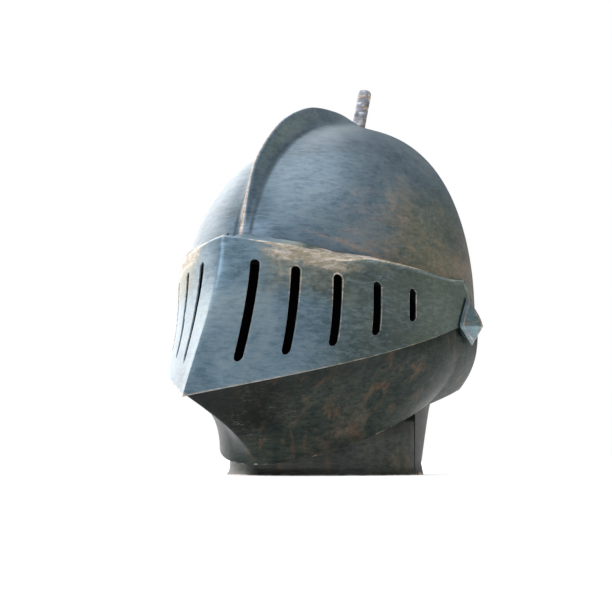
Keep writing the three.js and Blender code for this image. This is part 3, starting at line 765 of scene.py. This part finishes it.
def bevor_outer():
    """Outer surface of the bevor, from its edge inside the visor to the sloping lower edge."""
    turn = np.linspace(-BEVOR_END_TURN, BEVOR_END_TURN, 321)
    x = BEVOR_HALF_WIDTH * np.sin(np.radians(np.abs(turn)))

    def upper(phi):
        return polar(np.sign(turn) * x, visor_rho(x, phi, BEVOR_INSET), phi)

    rows = [upper(phi) for phi in np.linspace(BEVOR_TOP, VISOR_LOW, 9)[:-1]]
    top = upper(VISOR_LOW)
    edge_x = CHIN_EDGE_HALF_WIDTH * np.sin(np.radians(turn))
    edge_y = -CHIN_EDGE_FRONT * np.cos(np.radians(turn))
    edge_z = CHIN_EDGE_Z + CHIN_EDGE_SLOPE * edge_y
    for h in np.linspace(0, 1, LEVEL_ROWS):
        g = bevor_fullness(turn, h)
        level = [lerp(edge_x, top[:, 0], g), lerp(edge_y, top[:, 1], g), lerp(top[:, 2], edge_z, h)]
        rows.append(np.stack(level, -1))
    highest, lowest = top[-1], rows[-1][-1]
    full = []
    for row in rows:
        rear = bevor_rear(row, highest, lowest, BEVOR_REAR_STEPS)
        full.append(np.concatenate([rear[::-1] * (-1, 1, 1), row, rear]))
    outer = np.array(full)
    return outer - grid_normals(outer) * hammered(outer, 0.5)[..., None]


def make_bevor():
    bevor = plate("bevor_plate", bevor_outer(), VISOR_PLATE - HAMMER_ALLOWANCE)
    combine(
        bevor, ("UNION", arm_discs(BEVOR_HALF_WIDTH, BEVOR_ARM_RADIUS)),
        ("DIFFERENCE", pin_holes()),
    )
    p = points_of(bevor)
    x, y, z = p.T
    phi = rho_phi(p)[1]
    side = np.abs(x)
    over_edge = z - (CHIN_EDGE_Z + CHIN_EDGE_SLOPE * y)
    # painted shade: the bevor's top strip that lies under the visor is made black
    under_visor = (phi > VISOR_LOW + 0.3) & (phi < 60)
    finish_mesh(bevor, {
        "wear_and_highlight": 0.5 * smooth(over_edge, 1.5, 0.3) + 0.3 * smooth(side, 2.2, 0.5) * smooth(over_edge, 40, 5),
        "warm": 0.5 * smooth(waves(p * (1, 1, 0.3), 30, 12), 0.45, 0.8) * smooth(side, 15, 55)
                + 0.25 * smooth(over_edge, 34, 6),
        # painted shade: darker below the visor's lower edge and under the prow, black under the visor
        "shade_and_grime": np.minimum(
            0.55 * smooth(phi, -30, -17) + 0.7 * smooth(side, 50, 12) * smooth(over_edge, 10, 40), 0.85)
                + 1.0 * under_visor,
        "green_patina_and_reflection": 0.35 * smooth(y, -60, 0),
    })
    return bevor


# ---------- stub and caps ----------
def make_stub():
    stub = stub_rod("plume_stub_rod", STUB_RADIUS, True)
    p = points_of(stub)
    finish_mesh(stub, {
        "wear_and_highlight": 0.35 + 0.4 * smooth(waves(p, 7, 41), 0.5, 0.75),
        "warm": 0.35 + 0.6 * smooth(p[:, 2], 185, 165),
        "shade_and_grime": 0.6 * smooth(waves(p, 10, 43), 0.55, 0.85),
        "green_patina_and_reflection": np.zeros(len(p)),
    })
    return stub


def make_cap(side, name):
    """Four-sided pyramid with a sloping foot, softly rounded ridges and a pin beneath."""
    turned = math.radians(-CAP_TURN)
    centre = np.array([0, *CAP_CENTRE], float)
    rings = []

    def square(half, x, count=14, round_share=0.06):
        points = []
        for k in range(4):
            a, b = k * math.pi / 2, (k + 1) * math.pi / 2
            start = np.array([math.cos(a + math.pi / 4), math.sin(a + math.pi / 4)]) * half * math.sqrt(2)
            end = np.array([math.cos(b + math.pi / 4), math.sin(b + math.pi / 4)]) * half * math.sqrt(2)
            for t in np.linspace(round_share, 1 - round_share, count):
                points.append(lerp(start, end, t))
        flat = np.array(points)
        y = flat[:, 0] * math.cos(turned) - flat[:, 1] * math.sin(turned)
        z = flat[:, 0] * math.sin(turned) + flat[:, 1] * math.cos(turned)
        return np.stack([np.full(len(flat), side * x), y + centre[1], z + centre[2]], -1)

    base = CAP_BASE_X
    foot = CAP_SIDE / 2 + CAP_FOOT
    rings.append(square(foot - 0.5, base))
    rings.append(square(foot, base + 0.25))
    rings.append(square(foot, base + 0.6))
    for t in np.linspace(0.1, 1, 6):
        rings.append(square(lerp(foot, CAP_SIDE / 2, t), base + lerp(0.6, CAP_FOOT, t)))
    for t in np.linspace(0.06, 1, 18):
        swell = 0.35 * math.sin(math.pi * t)
        half = lerp(CAP_SIDE / 2, 1.0, t) + swell * (1 - t)
        ring = square(half, base + lerp(CAP_FOOT, CAP_HEIGHT - 0.35, t))
        rings.append(ring + np.multiply(CAP_LEAN, t))
    rings.append(square(0.5, base + CAP_HEIGHT - 0.05) + CAP_LEAN)
    rings = np.array(rings)
    dent = 0.45 * waves(rings, 16, 51) + 0.2 * waves(rings, 7, 53)
    rings[3:, :, 0] -= side * dent[3:] * 0.5
    if side < 0:
        rings = rings[:, ::-1]
    cap = loft(name, rings)
    pin = axis_bar("pin", side * PIN_INNER_X, side * (base + PIN_OVERLAP), PIN_RADIUS)
    combine(cap, ("UNION", pin))
    p = points_of(cap)
    flat = p[:, 1:] - CAP_CENTRE
    u = flat[:, 0] * math.cos(-turned) - flat[:, 1] * math.sin(-turned)
    v = flat[:, 0] * math.sin(-turned) + flat[:, 1] * math.cos(-turned)
    ridge = np.abs(np.abs(u) - np.abs(v))
    height = np.abs(p[:, 0]) - base
    finish_mesh(cap, {
        "wear_and_highlight": 0.75 * smooth(ridge, 1.3, 0.2) + 0.6 * smooth(np.abs(height - CAP_FOOT), 0.9, 0.2)
                + 0.6 * smooth(height, 9, 10.6),
        "warm": 0.45 * smooth(ridge, 2.4, 0.4) + 0.35,
        # painted shade where the cap's foot meets the visor
        "shade_and_grime": 0.5 * smooth(height, 0.6, 0),
        "green_patina_and_reflection": np.full(len(p), 0.15),
    }, sharp=24)
    return cap


# ---------- materials ----------
class Graph:
    """Shorthand for building a node tree."""

    def __init__(self, tree):
        self.tree = tree

    def node(self, kind, inputs=(), **settings):
        made = self.tree.nodes.new(kind)
        for key, value in settings.items():
            setattr(made, key, value)
        for key, value in dict(inputs).items():
            self.put(made.inputs[key], value)
        return made

    def put(self, socket, value):
        if isinstance(value, bpy.types.NodeSocket):
            self.tree.links.new(value, socket)
        else:
            socket.default_value = value

    def math(self, operation, a, b=0.0, clamp=False):
        made = self.node("ShaderNodeMath", operation=operation, use_clamp=clamp)
        self.put(made.inputs[0], a)
        self.put(made.inputs[1], b)
        return made.outputs[0]

    def noise(self, vector, scale, detail=5.0, roughness=0.6, distortion=0.0):
        made = self.node("ShaderNodeTexNoise", {
            "Vector": vector, "Scale": scale, "Detail": detail, "Roughness": roughness,
            "Distortion": distortion,
        })
        return made.outputs["Fac"]

    def ramp(self, fac, *stops):
        made = self.node("ShaderNodeValToRGB", {"Fac": fac})
        elements = made.color_ramp.elements
        while len(elements) < len(stops):
            elements.new(0.5)
        for element, (place, color) in zip(elements, stops):
            element.position = place
            element.color = (*color, 1)
        return made.outputs["Color"]

    def remap(self, value, low, high, out_low=0.0, out_high=1.0):
        made = self.node("ShaderNodeMapRange", {
            "Value": value, "From Min": low, "From Max": high, "To Min": out_low, "To Max": out_high,
        }, interpolation_type="SMOOTHSTEP")
        return made.outputs["Result"]

    def mix(self, fac, a, b):
        made = self.node("ShaderNodeMix", data_type="RGBA")
        self.put(made.inputs["Factor"], fac)
        self.put(made.inputs[6], a if isinstance(a, bpy.types.NodeSocket) else (*a, 1))
        self.put(made.inputs[7], b if isinstance(b, bpy.types.NodeSocket) else (*b, 1))
        return made.outputs[2]

    def mask(self, name):
        return self.node("ShaderNodeAttribute", attribute_name=name).outputs["Fac"]

    def stretched(self, vector, scale):
        return self.node("ShaderNodeMapping", {"Vector": vector, "Scale": scale}).outputs["Vector"]


def patina(name, deep, base, pale, copper=(0.40, 0.25, 0.16), wear_and_highlight=(0.66, 0.54, 0.46),
           rough=0.42, metal=0.55, streaks=0.0, cloudy=1.0, coat=0.5, gloss=0.5):
    """Old painted and patinated steel: clouded blue-green colours, copper rubs and bare edges, with painted
    highlights, painted shade and painted green reflection placed by the masks.
    """
    material = bpy.data.materials.new(name)
    material.use_nodes = True
    tree = material.node_tree
    tree.nodes.clear()
    g = Graph(tree)
    place = g.node("ShaderNodeTexCoord").outputs["Object"]
    clouds = g.noise(place, 13, 5, 0.62, 0.6)
    mottle = g.noise(place, 52, 7, 0.68, 0.5)
    grain = g.noise(place, 260, 5, 0.7)
    speck = g.noise(place, 900, 3, 0.6)
    brushed = g.noise(g.stretched(place, (0.5, 1.0, 2.6)), 150, 6, 0.74, 0.6)
    drips = g.noise(g.stretched(place, (1.0, 1.0, 0.20)), 85, 5, 0.65, 0.3)
    rubs = g.noise(g.stretched(place, (1.0, 1.0, 2.4)), 70, 8, 0.76, 0.8)

    tone = g.math("ADD", g.math("MULTIPLY", clouds, 0.56 * cloudy), g.math("MULTIPLY", mottle, 0.24))
    tone = g.math("ADD", tone, g.math("MULTIPLY", brushed, 0.76 - 0.56 * cloudy))
    color = g.ramp(tone, (0.38, deep), (0.5, base), (0.62, pale))
    green = g.ramp(mottle, (0.35, (0.026, 0.040, 0.026)), (0.68, (0.105, 0.110, 0.062)))
    # green tint from the green_patina_and_reflection mask: green patina, and painted reflection of green
    # surroundings on the right-hand sides
    green_patina_and_reflection = g.remap(g.math("ADD", g.mask("green_patina_and_reflection"), g.math("MULTIPLY", clouds, 0.9)), 0.55, 1.2)
    color = g.mix(g.math("MULTIPLY", green_patina_and_reflection, 0.85), color, green)
    color = g.mix(g.remap(brushed, 0.42, 0.68, 0.0, 0.45), color, pale)
    color = g.mix(g.remap(brushed, 0.5, 0.3, 0.0, 0.4), color, deep)

    warm_noise = g.math("ADD", g.math("MULTIPLY", rubs, 0.8), g.math("MULTIPLY", clouds, 0.4))
    warm = g.remap(g.math("ADD", g.math("MULTIPLY", g.mask("warm"), 0.34), warm_noise), 0.74, 1.04)
    warm = g.math("MULTIPLY", warm, g.remap(grain, 0.32, 0.6, 0.3, 1.0))
    copper_tone = g.mix(g.remap(mottle, 0.4, 0.62), copper, tuple(min(c * 1.3 + 0.03, 1) for c in copper))
    color = g.mix(g.math("MULTIPLY", warm, 0.62), color, copper_tone)

    if streaks:
        runs = g.remap(drips, 0.52, 0.72)
        color = g.mix(g.math("MULTIPLY", runs, streaks), color, (0.20, 0.105, 0.055))
        color = g.mix(g.math("MULTIPLY", g.remap(drips, 0.46, 0.3), 0.5), color, deep)

    # darkening from the shade_and_grime mask: mostly painted shade in creases, under and behind other plates
    # and on the side turned from the light, partly uneven dark tone
    shade_and_grime = g.remap(g.math("ADD", g.mask("shade_and_grime"), g.math("MULTIPLY", mottle, 0.5)), 0.45, 1.2)
    color = g.mix(g.math("MULTIPLY", shade_and_grime, 0.85), color, tuple(c * 0.25 for c in deep))

    scratch_field = g.noise(g.stretched(place, (14.0, 14.0, 190.0)), 4.5, 4, 0.6, 1.4)
    from_line = g.math("ABSOLUTE", g.math("SUBTRACT", scratch_field, 0.5))
    scratches = g.math("MULTIPLY", g.remap(from_line, 0.011, 0.003), g.remap(clouds, 0.5, 0.68))
    # bare metal where the wear_and_highlight mask is high: real wear on edges and rubs, and painted
    # highlights along the comb's left edge, the visor's upper side rim and the slot rims
    wear_sum = g.math("ADD", g.math("MULTIPLY", g.mask("wear_and_highlight"), 0.9),
                      g.math("ADD", g.math("MULTIPLY", rubs, 0.5), g.math("MULTIPLY", grain, 0.3)))
    bare = g.remap(wear_sum, 0.78, 1.04)
    chips = g.math("MULTIPLY", g.remap(speck, 0.70, 0.76), g.remap(mottle, 0.52, 0.66, 0.0, 0.7))
    bare = g.math("MAXIMUM", bare, g.math("MAXIMUM", g.math("MULTIPLY", scratches, 0.35), chips))
    worn_tone = g.mix(g.remap(brushed, 0.42, 0.6), copper, wear_and_highlight)
    color = g.mix(g.math("MULTIPLY", bare, 0.85), color, worn_tone)
    # painted shade: near-black on insides, cut faces and parts hidden behind other plates, where the
    # shade_and_grime mask is close to 1
    black_shade = g.remap(g.mask("shade_and_grime"), 0.9, 0.99)
    color = g.mix(black_shade, color, (0.004, 0.004, 0.005))

    roughness = g.math("ADD", rough - 0.1, g.math("MULTIPLY", mottle, 0.16))
    roughness = g.math("ADD", roughness, g.math("MULTIPLY", grain, 0.12))
    roughness = g.math("ADD", roughness, g.math("MULTIPLY", warm, 0.14))
    roughness = g.math("ADD", roughness, g.math("MULTIPLY", black_shade, 0.5), clamp=True)

    height = g.math("ADD", g.math("MULTIPLY", mottle, 0.45), g.math("MULTIPLY", grain, 0.3))
    height = g.math("ADD", height, g.math("MULTIPLY", speck, 0.08))
    height = g.math("SUBTRACT", height, g.math("MULTIPLY", bare, 0.12))
    bump = g.node("ShaderNodeBump", {"Height": height, "Strength": 0.34, "Distance": 0.0011})
    clear_of_shade_and_grime = g.math("SUBTRACT", 1, g.math("MAXIMUM", shade_and_grime, black_shade))
    shader = g.node("ShaderNodeBsdfPrincipled", {
        "Base Color": color, "Roughness": roughness, "Normal": bump.outputs["Normal"], "Metallic": metal,
        "Coat Weight": g.math("MULTIPLY", clear_of_shade_and_grime, coat), "Coat Roughness": 0.34,
        "Specular IOR Level": gloss,
    })
    g.node("ShaderNodeOutputMaterial", {"Surface": shader.outputs["BSDF"]})
    return material


# ---------- camera, floor and light ----------
IMAGE_SIZE = 612
AIM_RIGHT_OF_MIDDLE = 33.8 / IMAGE_SIZE
AIM_BELOW_MIDDLE = 22.6 / IMAGE_SIZE
CAMERA_AZIMUTH = 28.5
CAMERA_PITCH = 4.104
CAMERA_DISTANCE = 1.428
CAMERA_LENS = 103.4
CAMERA_SENSOR = 36
LIGHT_AIM = Vector((0, 0, 0.16))


def look_back(azimuth, pitch):
    """Unit vector from the pivot towards a camera that looks up by the pitch."""
    a, e = math.radians(azimuth), math.radians(pitch)
    return Vector((math.sin(a) * math.cos(e), -math.cos(a) * math.cos(e), -math.sin(e)))


def make_camera():
    data = bpy.data.cameras.new("camera")
    data.lens = CAMERA_LENS
    data.sensor_width = CAMERA_SENSOR
    data.shift_x = -AIM_RIGHT_OF_MIDDLE
    data.shift_y = AIM_BELOW_MIDDLE
    data.clip_start = 0.05
    camera = bpy.data.objects.new("camera", data)
    camera.location = Vector(PIVOT) + look_back(CAMERA_AZIMUTH, CAMERA_PITCH) * CAMERA_DISTANCE
    camera.rotation_euler = (math.radians(90 + CAMERA_PITCH), 0, math.radians(CAMERA_AZIMUTH))
    bpy.context.scene.collection.objects.link(camera)
    bpy.context.scene.camera = camera


def area_light(name, place, size, power, color):
    """Soft rectangular light that faces the helmet's middle."""
    data = bpy.data.lights.new(name, "AREA")
    data.shape = "RECTANGLE"
    data.size, data.size_y = size
    data.energy = power
    data.color = color
    light = bpy.data.objects.new(name, data)
    light.location = place
    aim = LIGHT_AIM - Vector(place)
    light.rotation_euler = aim.to_track_quat("-Z", "Y").to_euler()
    bpy.context.scene.collection.objects.link(light)


def make_stage():
    bpy.ops.mesh.primitive_plane_add(size=60)
    floor = bpy.context.object
    floor.name = "floor"
    material = bpy.data.materials.new("floor_paint")
    material.use_nodes = True
    shader = material.node_tree.nodes["Principled BSDF"]
    shader.inputs["Base Color"].default_value = (0.82, 0.82, 0.81, 1)
    shader.inputs["Roughness"].default_value = 0.85
    shader.inputs["Emission Color"].default_value = (1, 1, 1, 1)
    shader.inputs["Emission Strength"].default_value = 0.62
    floor.data.materials.append(material)

    area_light("sky_left", (-2.5, 1.3, 1.1), (3.0, 2.8), 60, (1.0, 0.975, 0.955))
    area_light("sky_front", (-1.1, -2.6, 1.6), (2.2, 1.6), 64, (0.74, 0.86, 1.0))
    area_light("sky_top", (0.4, -0.3, 2.9), (2.4, 2.4), 40, (0.86, 0.94, 1.0))
    area_light("leaves_right", (2.0, 1.9, 0.9), (0.8, 1.8), 4, (0.95, 1.0, 0.45))
    sun_data = bpy.data.lights.new("high_sky", "SUN")
    sun_data.energy = 1.1
    sun_data.angle = math.radians(60)
    sun = bpy.data.objects.new("high_sky", sun_data)
    sun.rotation_euler = Vector((1.0, -0.5, -1.3)).to_track_quat("-Z", "Y").to_euler()
    bpy.context.scene.collection.objects.link(sun)

    world = bpy.data.worlds.new("studio")
    bpy.context.scene.world = world
    world.use_nodes = True
    tree = world.node_tree
    tree.nodes.clear()
    g = Graph(tree)
    white = g.node("ShaderNodeBackground", {"Color": (1, 1, 1, 1), "Strength": 1.0})
    dim = g.node("ShaderNodeBackground", {"Color": (0.72, 0.78, 0.84, 1), "Strength": 0.3})
    seen = g.node("ShaderNodeLightPath").outputs["Is Camera Ray"]
    mixed = g.node("ShaderNodeMixShader", {0: seen, 1: dim.outputs[0], 2: white.outputs[0]})
    g.node("ShaderNodeOutputWorld", {"Surface": mixed.outputs[0]})


# ---------- the assembly ----------
def dress(obj, material, body, node):
    """Gives a piece its material and its body, and hides the CAD part it replaces."""
    obj.data.materials.clear()
    obj.data.materials.append(material)
    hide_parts(node)
    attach(obj, body)


make_camera()
make_stage()
bpy.context.scene.view_settings.view_transform = "Standard"

skull_patina = patina("skull_patina", (0.046, 0.070, 0.084), (0.112, 0.164, 0.205), (0.195, 0.240, 0.262))
neck_patina = patina("neck_patina", (0.018, 0.023, 0.021), (0.052, 0.058, 0.052), (0.095, 0.092, 0.080),
                     copper=(0.18, 0.115, 0.07), streaks=0.35, coat=0.02, gloss=0.15)
stub_patina = patina("stub_patina", (0.10, 0.085, 0.08), (0.25, 0.24, 0.26), (0.44, 0.46, 0.54),
                     copper=(0.36, 0.22, 0.12), wear_and_highlight=(0.72, 0.72, 0.74), rough=0.6, metal=0.3)
# the bevor's colours are far darker than the visor's: its own dark patina, and painted shade and dark
# reflection for a plate that faces down
bevor_patina_and_shade = patina("bevor_patina_and_shade", (0.007, 0.012, 0.011), (0.020, 0.028, 0.025), (0.044, 0.050, 0.038),
                      copper=(0.13, 0.082, 0.052), streaks=0.4, cloudy=0.7, coat=0.02, gloss=0.12)
visor_patina = patina("visor_patina", (0.062, 0.104, 0.128), (0.140, 0.212, 0.262), (0.235, 0.300, 0.325),
                      copper=(0.36, 0.29, 0.19), wear_and_highlight=(0.70, 0.58, 0.49))
cap_patina = patina("cap_patina", (0.050, 0.088, 0.098), (0.115, 0.180, 0.205), (0.21, 0.27, 0.28),
                    copper=(0.40, 0.19, 0.12))

dress(make_skull(), skull_patina, "skull", "skull")
dress(make_neck_front(), neck_patina, "skull", "neck_front")
dress(make_stub(), stub_patina, "skull", "plume_stub")
dress(make_bevor(), bevor_patina_and_shade, "bevor", "bevor")
dress(make_visor(), visor_patina, "visor", "visor")
for cap_side, cap_word in ((1, "left"), (-1, "right")):
    dress(make_cap(cap_side, f"cap_{cap_word}"), cap_patina, "visor", f"pivot_cap_{cap_word}")
